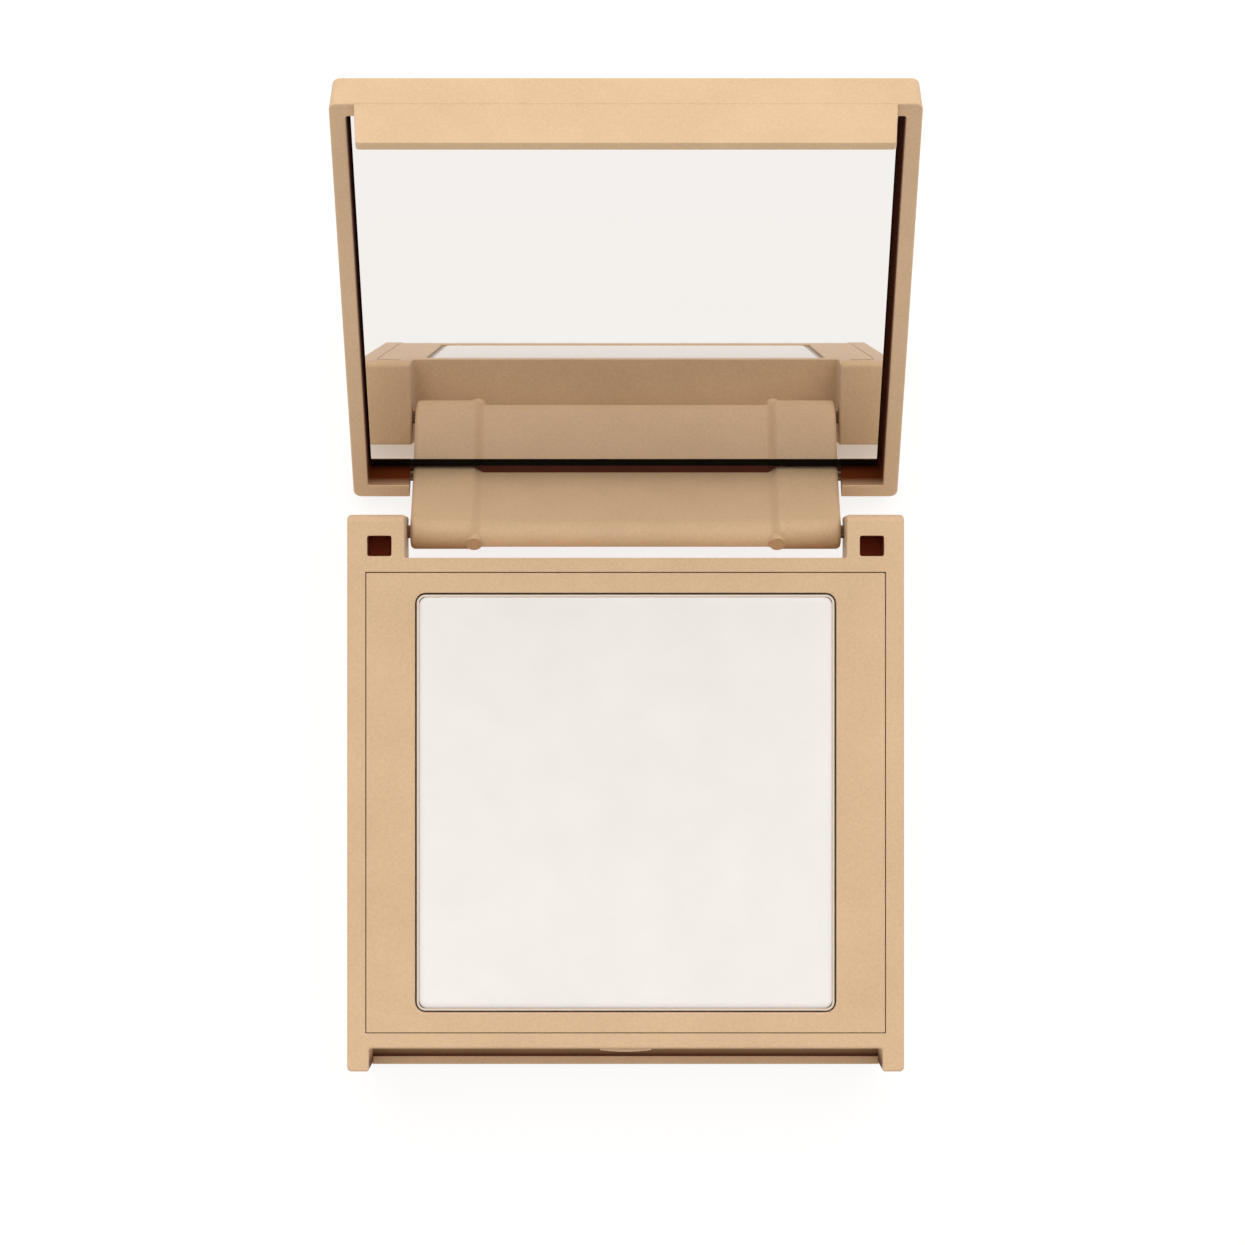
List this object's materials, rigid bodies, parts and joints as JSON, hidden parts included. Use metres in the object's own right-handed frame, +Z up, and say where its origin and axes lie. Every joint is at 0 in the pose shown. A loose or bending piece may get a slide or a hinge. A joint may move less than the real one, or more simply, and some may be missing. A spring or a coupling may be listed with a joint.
{
  "type": "powder compact",
  "caption": "Square pressed-powder compact with a press-in pan tray and a mirror lid on a two-axis hinge link, shown open.",
  "frame": {"origin": "centre of the flat underside of the base", "axes": "+Z up out of the powder, -Y towards the user (the opening edge), +X to the user's right; the lid is drawn open on its stop, leaning back over +Y"},
  "size_m": [0.064, 0.1107, 0.0523],
  "materials": {
    "case_plastic": "soft-touch matt, very fine spark texture",
    "powder": "pressed loose powder, fully matt",
    "pan_metal": "drawn sheet",
    "glue": "hot melt, satin",
    "pin_steel": "drawn wire",
    "mirror_glass": "polished float glass",
    "mirror_silver": "silvered, painted behind",
    "tape": "foam tape"
  },
  "bodies": {
    "base": {"base_shell": "case_plastic", "tray_insert": "case_plastic", "powder_pan": "pan_metal", "powder_cake": "powder", "pan_glue_pad": "glue", "base_hinge_pin_left": "pin_steel", "base_hinge_pin_right": "pin_steel"},
    "link": {"hinge_link": "case_plastic"},
    "lid": {"lid_shell": "case_plastic", "mirror_glass": "mirror_glass", "mirror_silver": "mirror_silver", "mirror_tape": "tape", "lid_hinge_pin_left": "pin_steel", "lid_hinge_pin_right": "pin_steel"}
  },
  "joints": [
    {"name": "base_hinge", "type": "hinge", "parent": "base", "child": "link", "pos_m": [0, 0.03017, 0.0032], "axis": [1, 0, 0], "range_deg": [0, 148.39]},
    {"name": "lid_hinge", "type": "hinge", "parent": "link", "child": "lid", "pos_m": [0, 0.03691, -0.00381], "axis": [1, 0, 0], "range_deg": [-16.2, 0]}
  ],
  "couplings": [
    {"joint": "lid_hinge", "follows": "base_hinge", "ratio": -0.10912}
  ]
}
